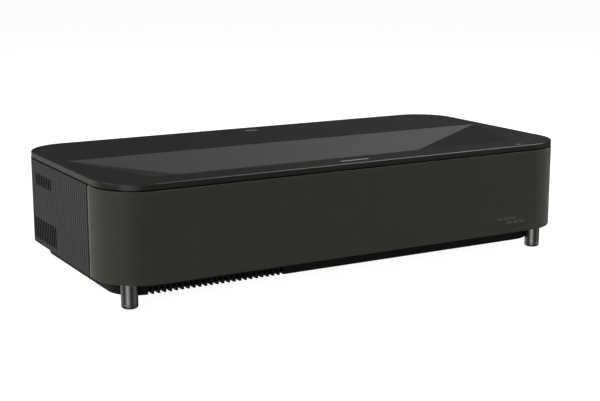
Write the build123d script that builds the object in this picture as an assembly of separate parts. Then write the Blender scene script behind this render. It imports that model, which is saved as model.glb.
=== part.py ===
from build123d import *
import math
import os

# Ultra-short-throw home projector, in millimetres. +X is to the right for a viewer who faces the
# fabric front, -Y is the front, +Z is up, and the origin is on the floor under the body's centre.

# --- Driving dimensions -----------------------------------------------------------------------
body_w = 695.0
body_d = 341.0
corner_r = 60.0
underside_z = 12.0
cabinet_z = 33.5
cabinet_h = 114.0
shadow_gap = 2.0
cover_t = 7.1
wall_t = 3.0
fit_gap = 0.3

# Fluted sides and their vents; a vent is a run of flutes, by number, cut through over a height
flute_pitch = 7.1
flute_w = 1.8
flute_deep = 0.6
slot_w = 5.2
upper_vent = range(19, 28)
upper_vent_z = (115.6, 130.8)
lower_vent = range(17, 38)
lower_vent_z = (40.6, 69.8)
filter_vent = range(12, 25)
filter_vent_z = (50.0, 130.0)
grille_split = 75.5
split_groove = 1.5

# Fabric front and its badge of plain bars: rows of first bar, height, bar length, bar height
fabric_t = 1.2
grille_t = 2.5
badge_rows = ((-125.6, 53.4, 9.6, 2.8), (-109.0, 47.0, 8.8, 4.2))
badge_step = 11.0
badge_slant = 0.35
badge_t = 0.3

# Light funnel in the top: every wall points at the exit pupil of the optics
lip_back = 42.5
pupil_back = 46.0
pupil_deep = 54.5
ramp_slope = 0.5
funnel_rear_half = 330.0
funnel_front_half = 275.0
funnel_cut = 28.2
skin_t = 2.2

# Shutter
door_half = 186.0
door_t = 2.5
door_drop = 1.5
door_travel = 104.0
door_overlap = 4.0
gear_module = 1.0
pinion_teeth = 16
gear_backlash = 0.25
gear_h = 5.5
gear_root = 1.25
rack_back = 5.0
rack_slot = (-1.5, 5.7)
pressure_angle = math.radians(20)

# Lower case and feet
tray_inset_x = 22.5
tray_front = 35.5
tray_rear = 44.5
tray_wall = 2.5
tray_corner_r = 40.0
rear_round = 7.0
tray_slot_in = 36.7
tray_slot_pitch = 8.0
tray_slot_w = 5.0
base_t = 3.0
foot_r = 10.5
foot_inset_x = 33.5
foot_inset_y = 33.0
foot_stud_r = 4.0
foot_travel = 7.0
screw_r = 1.5

# Optics
lens_z = 72.0
barrel_r = 28.0
barrel_tip_r = 23.0
lens_bore_r = 19.0
engine_half = 75.0
engine_wall = 3.0
focus_arm = 38.0
focus_rod_r = 2.5

# Filter door and power button in the right side
door_y = (-25.0, 95.0)
door_z = (42.0, 141.0)
hinge_pin_r = 0.8
hinge_in = 1.75
hinge_edge = 2.8
button_r = 6.0
button_back = 35.0
button_down = 37.5

# Rear connectors
bay_x = (95.0, 255.0)
bay_z = (44.0, 88.0)
bay_deep = 18.0
socket_deep = 14.0
jack_half = 4.0
jack_r = 1.8
jack_bore = 12.0
inlet_size = (26.0, 18.0)
inlet_in = 92.0
board_t = 1.6
board_lift = 13.5
panel_gap = 0.75
louvre_count = 24
louvre_x = -110.0
louvre_pitch = 7.2
louvre_w = 3.0

# --- Places worked out from them --------------------------------------------------------------
side_x = body_w / 2
front_y = -body_d / 2
rear_y = body_d / 2
cabinet_top = cabinet_z + cabinet_h
cover_z = cabinet_top + shadow_gap
top_z = cover_z + cover_t
floor_z = cabinet_z + base_t
split_y = front_y + grille_split
rear_joint_x = side_x - corner_r
lip_y = front_y + lip_back
pupil_y = lip_y + pupil_back
funnel_rear = pupil_y + pupil_deep / ramp_slope
funnel_bottom = top_z - funnel_cut
door_top = funnel_bottom - door_drop
frame_top = door_top - door_t - 0.4
frame_t = 4.0
frame_z = frame_top - frame_t
foot_x = side_x - foot_inset_x
foot_y = front_y + foot_inset_y
pitch_r = gear_module * pinion_teeth / 2
rack_x = door_half - 10.0
door_front = lip_y - door_overlap
door_rear = funnel_rear - funnel_cut / ramp_slope + door_overlap + 5.0
pinion_y = door_rear - 3.0
pinion_x = rack_x - pitch_r - 0.1
engine_y = (pupil_y + 106.0, pupil_y + 190.0)
engine_top = floor_z + 71.5
source_x = (-engine_half - 90.0, -engine_half - 3.0)
board_z = floor_z + board_lift
focus_y = engine_y[0] - 28.0
focus_z = lens_z + focus_arm
main_board_plan = ((90.0, side_x - 62.5), (engine_y[0] + 1.0, rear_y - bay_deep - 1.0))
power_board_plan = ((-side_x + 62.5, -105.0), (engine_y[1] + 7.0, rear_y - 25.0))
socket_back = rear_y - bay_deep + 4.0
socket_z = board_z + board_t
jack_x = bay_x[1] - 27.0
jack_z = socket_z + 3.5
inlet_x = -side_x + inlet_in
inlet_z = socket_z + 11.0

nodes = {}


# --- Helpers ----------------------------------------------------------------------------------
def block(x, y, z):
    size = Box(x[1] - x[0], y[1] - y[0], z[1] - z[0])
    return Pos((x[0] + x[1]) / 2, (y[0] + y[1]) / 2, (z[0] + z[1]) / 2) * size


def post(x, y, z, r):
    return Pos(x, y, (z[0] + z[1]) / 2) * Cylinder(r, z[1] - z[0])


def rod_x(x, y, z, r):
    return Pos((x[0] + x[1]) / 2, y, z) * Rot(0, 90, 0) * Cylinder(r, x[1] - x[0])


def rod_y(x, y, z, r):
    return Pos(x, (y[0] + y[1]) / 2, z) * Rot(90, 0, 0) * Cylinder(r, y[1] - y[0])


def group(solids):
    return Compound(children=list(solids))


def mirrored(shape):
    return mirror(shape, about=Plane.YZ)


def outline(inset):
    return RectangleRounded(body_w - 2 * inset, body_d - 2 * inset, corner_r - inset)


def rounded_slab(inset, z):
    return Pos(0, 0, z[0]) * extrude(outline(inset), z[1] - z[0])


def rounded_band(outer, inner, z):
    return Pos(0, 0, z[0]) * extrude(outline(outer) - outline(inner), z[1] - z[0])


# --- Fluted sides -----------------------------------------------------------------------------
def flute_place(number):
    """Place of a flute of the right side, counted from the grille towards the rear centre."""
    run = (number + 0.5) * flute_pitch
    straight = rear_y - corner_r - split_y
    if run <= straight:
        return Location((side_x, split_y + run, 0))
    turn = (run - straight) / corner_r
    x = side_x - corner_r + corner_r * math.cos(turn)
    y = rear_y - corner_r + corner_r * math.sin(turn)
    return Location((x, y, 0), (0, 0, math.degrees(turn)))


def flute_count():
    straight = rear_y - corner_r - split_y
    return int((straight + corner_r * math.pi / 2) / flute_pitch)


def fluted_band():
    profile = outline(0) - outline(wall_t)
    keep_w = corner_r + wall_t
    keep_d = rear_y - split_y - split_groove / 2
    keep = Pos(side_x - keep_w / 2, rear_y - keep_d / 2) * Rectangle(keep_w, keep_d)
    profile = profile & (keep - Pos(rear_joint_x - 5, rear_y) * Rectangle(10, 2 * keep_w))
    for number in range(flute_count()):
        profile -= flute_place(number) * Rectangle(2 * flute_deep, flute_w)
    return Pos(0, 0, cabinet_z) * extrude(profile, cabinet_h)


def vent(numbers, z):
    cut = Rectangle(3 * wall_t, slot_w)
    return [Pos(0, 0, z[0]) * extrude(flute_place(n) * cut, z[1] - z[0]) for n in numbers]


def side_panels():
    band = fluted_band()
    left = band
    for slot in vent(upper_vent, upper_vent_z) + vent(lower_vent, lower_vent_z):
        left -= slot
    nodes["left_side_panel"] = mirrored(left)

    gap = 0.5
    wide = (side_x - 2 * wall_t, side_x + wall_t)
    hole = block(wide, (door_y[0] - gap, door_y[1] + 2 * gap), (door_z[0] - gap, door_z[1] + gap))
    button_hole = rod_x(wide, split_y + button_back, cabinet_top - button_down, button_r + 0.2)
    pin_x = side_x - hinge_in
    pin_y = door_y[1] - hinge_edge
    pins = post(pin_x, pin_y, (door_z[0] - 3.0, door_z[1] + 3.0), hinge_pin_r)
    pin_holes = post(pin_x, pin_y, (door_z[0] - 3.2, door_z[1] + 3.2), hinge_pin_r + 0.05)
    nodes["right_side_panel"] = band - hole - button_hole - pin_holes

    door = band & block(wide, door_y, door_z)
    for slot in vent(filter_vent, filter_vent_z):
        door -= slot
    nodes["filter_door"] = door + (pins - block(wide, (-side_x, side_x), door_z))


def filter_parts():
    x = (side_x - 19.5, side_x - 7.5)
    y = (8.0, 92.0)
    z = (floor_z, 124.0)
    frame = block(x, y, z) - block((x[0] - 1, x[1] + 1), (y[0] + 4, y[1] - 4), (z[0] + 4, z[1] - 4))
    pleats = [block((x[0] + 2, x[1] - 2), (12.0 + 4.0 * n, 13.0 + 4.0 * n), (z[0] + 4, z[1] - 4))
              for n in range(19)]
    web = block((x[0] + 5.5, x[0] + 6.5), (y[0] + 4, y[1] - 4), (z[0] + 4, z[1] - 4))
    nodes["air_filter"] = frame + pleats + web


def power_button():
    y = split_y + button_back
    z = cabinet_top - button_down
    cap = rod_x((side_x - 5.5, side_x), y, z, button_r)
    collar = rod_x((side_x - 5.5, side_x - wall_t - 0.3), y, z, button_r + 1.5)
    stem = rod_x((side_x - 10.0, side_x - 5.5), y, z, 1.8)
    nodes["power_button"] = cap + collar + stem
    board = block((side_x - 14.6, side_x - 13.0), (y - 12, y + 12), (floor_z, z + 12))
    switch = block((side_x - 13.0, side_x - 11.4), (y - 3, y + 3), (z - 3, z + 3))
    nodes["button_board"] = board + switch


# --- Fabric front -----------------------------------------------------------------------------
def front_region(inset, inner, z):
    cut_y = split_y - split_groove / 2
    band = rounded_band(inset, inner, z)
    return band & block((-side_x, side_x), (front_y, cut_y), z)


def fabric_front():
    z = (cabinet_z, cabinet_top)
    nodes["grille_fabric"] = front_region(0, fabric_t, z)
    frame = front_region(fabric_t, fabric_t + grille_t, z)
    for number in range(-9, 10):
        window_x = number * 30.0
        window = RectangleRounded(24.0, 96.0, 4.0)
        cutter = Plane.XZ.offset(-front_y - 10.0) * Pos(window_x, (z[0] + z[1]) / 2) * window
        frame -= extrude(cutter, 20.0)
    nodes["grille_frame"] = frame
    board = block((-32, 32), (front_y + fabric_t + grille_t, front_y + 5.3), (98.0, 130.0))
    receiver = block((-4, 4), (front_y + 5.3, front_y + 9.3), (108.0, 116.0))
    nodes["receiver_board"] = board + receiver
    nodes["grille_badge"] = group(badge_bars())


def badge_bars():
    bars = []
    for first, low, length, height in badge_rows:
        lean = badge_slant * height
        for number in range(3):
            x = side_x + first + badge_step * number
            top = low + height
            corners = [(x, low), (x + length, low), (x + length + lean, top), (x + lean, top)]
            bar = make_face(Polyline(*corners, close=True))
            bars.append(extrude(Plane.XZ.offset(-front_y) * bar, badge_t))
    return bars


# --- Top cover and the light funnel -----------------------------------------------------------
def funnel_outline(deep):
    """Plan of the funnel at a depth below the top face; its sides run on past the front lip."""
    shrink = 1 - deep / pupil_deep
    lean = (funnel_rear_half - funnel_front_half) / (funnel_rear - lip_y)
    far = 400.0
    corners = [(-funnel_rear_half, funnel_rear), (funnel_rear_half, funnel_rear)]
    half_far = funnel_rear_half - lean * far
    corners += [(half_far, funnel_rear - far), (-half_far, funnel_rear - far)]
    moved = [(x * shrink, pupil_y + (y - pupil_y) * shrink) for x, y in corners]
    return Pos(0, 0, top_z - deep) * make_face(Polyline(*moved, close=True))


def funnel(front, drop=0.0):
    solid = loft([funnel_outline(-6.0), funnel_outline(40.0)], ruled=True)
    room = block((-side_x, side_x), (front, rear_y), (funnel_bottom - drop - 1, top_z + 10))
    return (Pos(0, 0, -drop) * solid) & room


def mouth(inset, z):
    """Prism over the funnel's mouth at the top face."""
    corners = [(-funnel_rear_half, funnel_rear), (funnel_rear_half, funnel_rear)]
    corners += [(funnel_front_half, lip_y), (-funnel_front_half, lip_y)]
    face = make_face(Polyline(*corners, close=True))
    if inset != 0:
        face = offset(face, -inset, kind=Kind.INTERSECTION)
    return Pos(0, 0, z[0]) * extrude(face, z[1] - z[0])


def top_cover():
    plate = rounded_slab(0.5, (cover_z, top_z))
    plate = chamfer(plate.edges().group_by(Axis.Z)[-1], 0.7)
    skirt = rounded_band(wall_t + 1.7, wall_t + 3.7, (cover_z - 7.0, cover_z))
    plate = plate + skirt - mouth(0, (cover_z - 1, top_z + 1))
    inlays = top_inlays()
    for inlay in inlays:
        plate -= inlay
    nodes["top_cover"] = plate
    nodes["top_inlay"] = inlays[0]
    nodes["indicator_windows"] = group(inlays[1:])


def top_inlays():
    sink = 0.8
    places = [(-1.5, front_y + 19.5, 44.0, 4.0), (side_x - 82.5, front_y + 12.0, 9.0, 3.0),
              (0.0, rear_y - 29.0, 20.0, 5.0)]
    cuts = []
    for x, y, w, d in places:
        bar = RectangleRounded(w, d, d / 2 - 0.1)
        cuts.append(Pos(x, y, top_z - sink) * extrude(bar, sink))
    return cuts


def beam_recess():
    low = funnel_bottom
    below = block((-side_x, side_x), (front_y, rear_y), (low, cover_z))
    tall = block((-side_x, side_x), (front_y, rear_y), (low, top_z))
    skin = funnel(lip_y - skin_t, skin_t)
    rim = mouth(0.15, (cover_z - 2.5, top_z)) - mouth(2.6, (cover_z - 3, top_z + 1))
    flange = mouth(-6.0, (cover_z - 2.5, cover_z)) - mouth(2.6, (cover_z - 3, cover_z + 1))
    flange = flange & block((-side_x, side_x), (lip_y - 6.0, rear_y), (low, top_z))
    panel = (skin & below) + (skin & tall & mouth(0.15, (low, top_z))) + rim + flange
    nodes["beam_recess"] = panel - funnel(lip_y)


# --- Shutter ----------------------------------------------------------------------------------
def involute_point(radius, half_angle, side):
    base = pitch_r * math.cos(pressure_angle)
    pressure = math.acos(min(1.0, base / radius))
    swing = math.tan(pressure) - pressure
    start = math.tan(pressure_angle) - pressure_angle
    angle = side * (half_angle + start - swing)
    return radius, angle


def pinion_profile():
    root = pitch_r - gear_root * gear_module
    base = pitch_r * math.cos(pressure_angle)
    tip = pitch_r + 0.9 * gear_module
    half_tooth = math.pi / (2 * pinion_teeth) - gear_backlash / 2 / pitch_r
    points = []
    for tooth in range(pinion_teeth):
        centre = 2 * math.pi * tooth / pinion_teeth
        flank = [involute_point(base + (tip - base) * step / 3, half_tooth, 1) for step in range(4)]
        left = [(root, flank[0][1])] + flank
        for radius, angle in left:
            points.append((radius, centre - angle))
        for radius, angle in reversed(left):
            points.append((radius, centre + angle))
    corners = [(r * math.cos(a), r * math.sin(a)) for r, a in points]
    return make_face(Polyline(*corners, close=True))


def shutter():
    y = (door_front, door_rear)
    low = door_top - door_t
    nodes["lens_shutter"] = block((-door_half, door_half), y, (low, door_top))

    gear_z = frame_z - 1.0
    bar = block((rack_x + gear_root, rack_x + rack_back), y, (gear_z - gear_h, low))
    pitch = math.pi * gear_module
    half_root = pitch / 4 + gear_root * math.tan(pressure_angle) - gear_backlash / 2
    half_tip = pitch / 4 - math.tan(pressure_angle) - gear_backlash / 2
    first = math.ceil((y[0] - pinion_y) / pitch + 0.5)
    last = math.floor((y[1] - pinion_y) / pitch - 1.5)
    for number in range(first, last + 1):
        centre = pinion_y + pitch * (number + 0.5)
        root_x = rack_x + gear_root
        tip_x = rack_x - gear_module + 0.1
        tooth = make_face(Polyline((root_x, centre - half_root), (tip_x, centre - half_tip),
                                   (tip_x, centre + half_tip), (root_x, centre + half_root), close=True))
        bar += Pos(0, 0, gear_z - gear_h) * extrude(tooth, gear_h)
    nodes["shutter_rack"] = bar

    pinion = Pos(pinion_x, pinion_y, gear_z - gear_h) * extrude(pinion_profile(), gear_h)
    shaft = post(pinion_x, pinion_y, (gear_z - gear_h - 14.0, gear_z - gear_h), 1.5)
    nodes["shutter_pinion"] = pinion + shaft
    motor_top = gear_z - gear_h - 1.0
    can = post(pinion_x, pinion_y, (motor_top - 30.0, motor_top), 12.0)
    ear_y = (pinion_y - 5, pinion_y + 5)
    ears = block((pinion_x - 20, pinion_x + 20), ear_y, (motor_top - 2.0, motor_top))
    bore = post(pinion_x, pinion_y, (motor_top - 14.0, motor_top + 1), 1.55)
    nodes["shutter_motor"] = can + ears - bore
    return motor_top


def shutter_frame(motor_top):
    half = door_half + 10.0
    y = (door_front - 6.0, door_rear + door_travel + 10.0)
    plate = block((-half, half), y, (frame_z, frame_top))
    light_y = (lip_y, funnel_rear - (top_z - frame_top) / ramp_slope + 4.0)
    plate -= block((-140.0, 140.0), light_y, (frame_z - 1, frame_top + 1))
    slot_x = (rack_x + rack_slot[0], rack_x + rack_slot[1])
    plate -= block(slot_x, (y[0] + 4.0, y[1] - 4.0), (frame_z - 1, frame_top + 1))
    lip_z = (door_top + fit_gap, door_top + fit_gap + 1.5)
    rail = block((door_half + 0.5, half), y, (frame_z, lip_z[1]))
    rail += block((door_half - 4.0, half), y, lip_z)
    hanger_x = half - 3.5
    for hanger_y in (funnel_rear + 13.0, y[1] - 6.0):
        rail += post(hanger_x, hanger_y, (lip_z[0], cover_z), 3.0)
    frame = plate + rail + mirrored(rail)
    leg = post(150.0, lip_y - 4.0, (floor_z, frame_z), 5.0)
    frame += [leg, mirrored(leg)]
    for side in (-17.0, 17.0):
        frame += post(pinion_x + side, pinion_y, (motor_top, frame_z), 2.5)
    # The left-hand pillar stays clear of the rack, which passes beside the right-hand one.
    nodes["shutter_frame"] = frame - block(slot_x, y, (frame_z - 12, frame_z))
    glass = block((-143.5, 143.5), (light_y[0] - 6.0, light_y[1] + 6.0), (frame_z - 3.0, frame_z))
    nodes["dust_glass"] = glass


# --- Optics -----------------------------------------------------------------------------------
def mirror_parts():
    back = lip_y - 8.5
    face = (back, lip_y + 24.0)
    z = (floor_z + 14.0, frame_z - 6.0)
    bowl = Pos(0, pupil_y + 42.0, z[1] + 2.0) * Sphere(85.0)
    nodes["projection_mirror"] = block((-70, 70), face, z) - bowl
    plate = block((-78, 78), (back - 5.0, back), (floor_z, z[1]))
    shelf = block((-78, 78), face, (z[0] - 5.0, z[0]))
    legs = block((-78, -68), face, (floor_z, z[0])) + block((68, 78), face, (floor_z, z[0]))
    nodes["mirror_holder"] = plate + shelf + legs


def lens_parts():
    rear = engine_y[0]
    tip = rear - 110.0
    step = rear - 60.0
    barrel = rod_y(0, (tip, step), lens_z, barrel_tip_r) + rod_y(0, (step, rear), lens_z, barrel_r)
    barrel += block((-40, 40), (rear - 4.0, rear), (lens_z - 33, lens_z + 33))
    nodes["lens_barrel"] = barrel - rod_y(0, (tip - 1, rear + 1), lens_z, lens_bore_r)
    curve = 60.0
    domed = rod_y(0, (tip + 2.0, tip + 10.0), lens_z, lens_bore_r)
    domed = domed & (Pos(0, tip + 2.0 + curve, lens_z) * Sphere(curve))
    nodes["projection_lenses"] = group([domed, rod_y(0, (rear - 12.0, rear - 5.0), lens_z, lens_bore_r)])

    ring_y = (focus_y - 9.0, focus_y + 9.0)
    ring = rod_y(0, ring_y, lens_z, barrel_r + 5.0) - rod_y(0, ring_y, lens_z, barrel_r + 0.08)
    stem_z = (lens_z + barrel_r + 4.0, focus_z)
    ring += block((-1.6, 1.6), (focus_y - 3, focus_y + 3), stem_z)
    ring += rod_y(0, (focus_y - 3, focus_y + 3), focus_z, 2.0)
    nodes["focus_ring"] = ring

    fork = block((-6, 10), (focus_y - 5, focus_y + 5), (focus_z - 2.0, focus_z + 6.0))
    fork -= block((-2.4, 2.4), (focus_y - 6, focus_y + 6), (focus_z - 3.0, focus_z + 3.0))
    rod_end = side_x - 17.5
    knob = block((rod_end - 8.0, rod_end), (focus_y - 6, focus_y + 6), (focus_z - 8, focus_z + 8))
    rod = rod_x((9.0, rod_end - 7.0), focus_y, focus_z, focus_rod_r)
    nodes["focus_rod"] = fork + rod + knob


def open_box(x, y, z, wall):
    inner = block((x[0] + wall, x[1] - wall), (y[0] + wall, y[1] - wall), (z[0] + wall, z[1] + 1))
    return block(x, y, z) - inner


def light_engine():
    x = (-engine_half, engine_half)
    y = engine_y
    lid_t = 2.5
    box = open_box(x, y, (floor_z, engine_top - lid_t), engine_wall)
    box -= rod_y(0, (y[0] - 1, y[0] + engine_wall + 1), lens_z, lens_bore_r)
    beam_y = (y[0] + y[1]) / 2
    box -= rod_x((x[0] - 1, x[0] + engine_wall + 1), beam_y, lens_z, 12.0)
    prism_y = y[0] + 26.0
    inner_floor = floor_z + engine_wall
    stage = block((-14, 14), (prism_y - 14, prism_y + 14), (inner_floor - 1, lens_z - 12))
    nodes["engine_housing"] = box + stage
    nodes["engine_lid"] = block((source_x[0], x[1]), y, (engine_top - lid_t, engine_top))
    nodes["prism_cube"] = block((-12, 12), (prism_y - 12, prism_y + 12), (lens_z - 12, lens_z + 12))
    panels = [block((-18, -16), (prism_y - 12, prism_y + 12), (inner_floor, lens_z + 12)),
              block((16, 18), (prism_y - 12, prism_y + 12), (inner_floor, lens_z + 12)),
              block((-12, 12), (prism_y + 16, prism_y + 18), (inner_floor, lens_z + 12))]
    nodes["lcd_panels"] = group(panels)
    plates = []
    folds = [(-45, prism_y + 32, 45), (0, prism_y + 40, 45), (45, prism_y + 32, -45), (45, prism_y, 45)]
    for place_x, place_y, turn in folds:
        plate = Rot(0, 0, turn) * Box(24, 1.6, lens_z + 14 - inner_floor)
        plates.append(Pos(place_x, place_y, (lens_z + 14 + inner_floor) / 2) * plate)
    nodes["dichroic_mirrors"] = group(plates)


def light_source():
    x = source_x
    y = engine_y
    z = (floor_z, engine_top)
    lid_t = 2.5
    box = open_box(x, y, (z[0], z[1] - lid_t), engine_wall)
    beam_y = (y[0] + y[1]) / 2
    box -= rod_x((x[1] - engine_wall - 1, x[1] + 1), beam_y, lens_z, 12.0)
    nodes["source_housing"] = box
    inner = x[0] + engine_wall
    bank = block((inner, inner + 14), (beam_y - 26, beam_y + 26), (z[0] + engine_wall, lens_z + 22))
    for row in range(-1, 2):
        for column in range(-2, 3):
            bank += rod_x((inner + 13, inner + 19), beam_y + 9.5 * column, lens_z + 11.0 * row, 3.5)
    nodes["laser_bank"] = bank
    wheel_x = x[1] - 24.0
    wheel = rod_x((wheel_x, wheel_x + 2), beam_y, lens_z, 25.0)
    wheel += rod_x((wheel_x - 4, wheel_x), beam_y, lens_z, 8.0)
    nodes["phosphor_wheel"] = wheel - rod_x((wheel_x - 5, wheel_x + 3), beam_y, lens_z, 2.05)
    motor = rod_x((wheel_x - 18, wheel_x - 5), beam_y, lens_z, 11.0)
    motor += rod_x((wheel_x - 6, wheel_x + 4), beam_y, lens_z, 2.0)
    motor += block((wheel_x - 18, wheel_x - 14), (beam_y - 11, beam_y + 11), (z[0] + engine_wall, lens_z))
    nodes["wheel_motor"] = motor


# --- Cooling ----------------------------------------------------------------------------------
def finned(x, y, z, base, pitch):
    """Heat sink: a base on its +X side and upright fins that let the air pass along X."""
    sink = block((x[1] - base, x[1]), y, z)
    count = int((y[1] - y[0] - 1.2) / pitch)
    for number in range(count + 1):
        fin_y = y[0] + pitch * number
        sink += block((x[0], x[1] - base + 0.5), (fin_y, fin_y + 1.2), z)
    return sink


def cooling():
    y = engine_y
    pipe_r = 3.0
    stack_x = (-side_x + 42.0, -side_x + 82.0)
    sink_x = (source_x[0] - 62.0, source_x[0])
    z = (floor_z, engine_top - 8.0)
    nodes["laser_heat_sink"] = finned(sink_x, y, z, 5.0, 6.4)
    radiator = finned(stack_x, y, z, 3.0, 4.0)
    for number in range(4):
        pipe_y = y[0] + 14.0 + 18.0 * number
        radiator += rod_x((stack_x[0], sink_x[1]), pipe_y, z[1] + pipe_r - 0.2, pipe_r)
        radiator -= block((stack_x[1] + 1, sink_x[1] + 1), (pipe_y - 4, pipe_y + 4), (z[1] - 1, z[1]))
    nodes["heat_pipe_radiator"] = radiator
    fan("exhaust", -side_x + 20.0, 68.0, 92.0)
    fan("intake", side_x - 36.0, 52.0, 80.0)


def fan(name, x, y, size):
    """Axial fan with its axis along X: a square frame with a spider, and a seven-bladed rotor."""
    depth = 25.0
    z = floor_z + size / 2
    bore_r = size / 2 - 3.0
    hub_r = size * 0.2
    half = size / 2
    square = block((x - depth / 2, x + depth / 2), (y - half, y + half), (z - half, z + half))
    frame = square - rod_x((x - depth, x + depth), y, z, bore_r)
    spider_x = (x - depth / 2, x - depth / 2 + 3.0)
    for turn in (45, 135):
        strut = Box(3.0, 2 * bore_r + 4.0, 4.0)
        frame += Pos(x - depth / 2 + 1.5, y, z) * Rot(turn, 0, 0) * strut
    frame += rod_x(spider_x, y, z, hub_r)
    frame += rod_x((spider_x[1] - 1, x + 8.0), y, z, 2.0)
    nodes[name + "_fan_frame"] = frame
    rotor_x = (spider_x[1] + 1.0, x + depth / 2 - 1.0)
    rotor = rod_x(rotor_x, y, z, hub_r)
    root_r = hub_r - 3.0
    for number in range(7):
        blade = Pos(0, 0, (root_r + bore_r) / 2) * Rot(0, 0, 35) * Box(24.0, 1.5, bore_r - root_r)
        rotor += Pos(x + 1.5, y, z) * Rot(360.0 * number / 7, 0, 0) * blade
    swept = rod_x(rotor_x, y, z, bore_r - 1.5)
    rotor = (rotor & swept) - rod_x((rotor_x[0] - 1, x + 9.0), y, z, 2.06)
    nodes[name + "_fan_rotor"] = rotor


# --- Sound ------------------------------------------------------------------------------------
def speakers():
    x = (158.0, side_x - 51.5)
    y = (front_y + 12.0, lip_y + 32.0)
    z = (floor_z, floor_z + 71.0)
    centre_z = (z[0] + z[1]) / 2
    woofer_x = x[0] + 42.0
    tweeter_x = x[1] - 30.0
    wall = 3.0
    inner = block((x[0] + wall, x[1] - wall), (y[0] + wall, y[1] - wall), (z[0] + wall, z[1] - wall))
    box = block(x, y, z) - inner
    box -= rod_y(woofer_x, (y[0] - 1, y[0] + wall + 1), centre_z, 27.0)
    box -= rod_y(tweeter_x, (y[0] - 1, y[0] + wall + 1), centre_z, 12.0)
    nodes["speaker_boxes"] = group([box, mirrored(box)])
    basket = rod_y(woofer_x, (y[0] - 2.0, y[0]), centre_z, 31.0)
    basket += rod_y(woofer_x, (y[0], y[0] + 20.0), centre_z, 26.5)
    basket -= Pos(woofer_x, y[0] + 6.0, centre_z) * Rot(-90, 0, 0) * Cone(24.5, 8.0, 16.0)
    basket += rod_y(woofer_x, (y[0] + 20.0, y[0] + 38.0), centre_z, 20.0)
    nodes["woofers"] = group([basket, mirrored(basket)])
    tweeter = rod_y(tweeter_x, (y[0] - 2.0, y[0]), centre_z, 15.0)
    tweeter += rod_y(tweeter_x, (y[0], y[0] + 14.0), centre_z, 11.5)
    nodes["tweeters"] = group([tweeter, mirrored(tweeter)])


# --- Electronics and connectors ---------------------------------------------------------------
def board_posts():
    places = []
    for x, y in (main_board_plan, power_board_plan):
        places += [(px, py) for px in (x[0] + 6.0, x[1] - 6.0) for py in (y[0] + 6.0, y[1] - 6.0)]
    return places


def electronics():
    z = (board_z, board_z + board_t)
    main = block(*main_board_plan, z)
    power = block(*power_board_plan, z)
    screws = []
    for x, y in board_posts():
        hole = post(x, y, (z[0] - 1, z[1] + 1), 1.3)
        main -= hole
        power -= hole
        screws.append(post(x, y, (floor_z + 4.0, z[1]), 1.2) + post(x, y, (z[1], z[1] + 1.8), 2.6))
    nodes["main_board"] = main
    nodes["board_screws"] = group(screws)

    chip_x = (main_board_plan[0][0] + 55.0, main_board_plan[0][0] + 105.0)
    chip_y = (main_board_plan[1][0] + 35.0, main_board_plan[1][0] + 85.0)
    sink = block(chip_x, chip_y, (z[1], z[1] + 5.0))
    for number in range(9):
        fin_x = chip_x[0] + 6.0 * number
        sink += block((fin_x, fin_x + 1.5), chip_y, (z[1] + 4.5, z[1] + 24.0))
    nodes["processor_heat_sink"] = sink
    power_x, power_y = power_board_plan
    mid_y = (power_y[0] + power_y[1]) / 2
    power += block((power_x[1] - 60, power_x[1] - 25), (mid_y - 15, mid_y + 15), (z[1], z[1] + 28.0))
    for number in range(2):
        power += post(power_x[0] + 75.0 + 21.0 * number, mid_y, (z[1], z[1] + 32.0), 9.0)
    nodes["power_board"] = power


def socket(x, w, h, tongue):
    """Board socket that opens to the rear, with a contact tongue in its middle."""
    front = socket_back - socket_deep
    z = (socket_z, socket_z + h)
    shell = block((x - w / 2, x + w / 2), (front, socket_back), z)
    mouth_x = (x - w / 2 + 0.5, x + w / 2 - 0.5)
    shell -= block(mouth_x, (front + 2, socket_back + 1), (z[0] + 0.5, z[1] - 0.5))
    middle = (z[0] + z[1]) / 2
    tongue_x = (x - w / 2 + 2, x + w / 2 - 2)
    return shell + block(tongue_x, (front + 1, socket_back - 1), (middle - tongue, middle + tongue))


def connectors():
    hdmi_w, hdmi_h = 15.0, 5.8
    usb_w, usb_h = 13.5, 6.4
    first = bay_x[0] + 22.0
    hdmi_x = [first + 25.0 * n for n in range(3)]
    usb_x = [first + 75.0 + 20.0 * n for n in range(2)]
    nodes["hdmi_sockets"] = group([socket(x, hdmi_w, hdmi_h, 0.9) for x in hdmi_x])
    nodes["usb_sockets"] = group([socket(x, usb_w, usb_h, 1.0) for x in usb_x])
    jack_y = (socket_back - socket_deep, socket_back)
    jack = block((jack_x - jack_half, jack_x + jack_half), jack_y, (socket_z, jack_z + 3.5))
    nodes["audio_jack"] = jack - rod_y(jack_x, (socket_back - jack_bore, socket_back + 1), jack_z, jack_r)

    t = 2.0
    y = (rear_y - bay_deep, rear_y)
    inner = block((bay_x[0] + t, bay_x[1] - t), (y[0] + t, y[1] + 1), (bay_z[0] + t, bay_z[1] - t))
    tub = block(bay_x, y, bay_z) - inner
    holes = [(x, hdmi_w / 2, hdmi_h) for x in hdmi_x] + [(x, usb_w / 2, usb_h) for x in usb_x]
    holes.append((jack_x, jack_half, jack_z + 3.5 - socket_z))
    for x, half, h in holes:
        hole_x = (x - half - fit_gap, x + half + fit_gap)
        hole_z = (socket_z - fit_gap, socket_z + h + fit_gap)
        tub -= block(hole_x, (y[0] - 1, y[0] + t + 1), hole_z)
    nodes["connector_bay"] = tub


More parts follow.
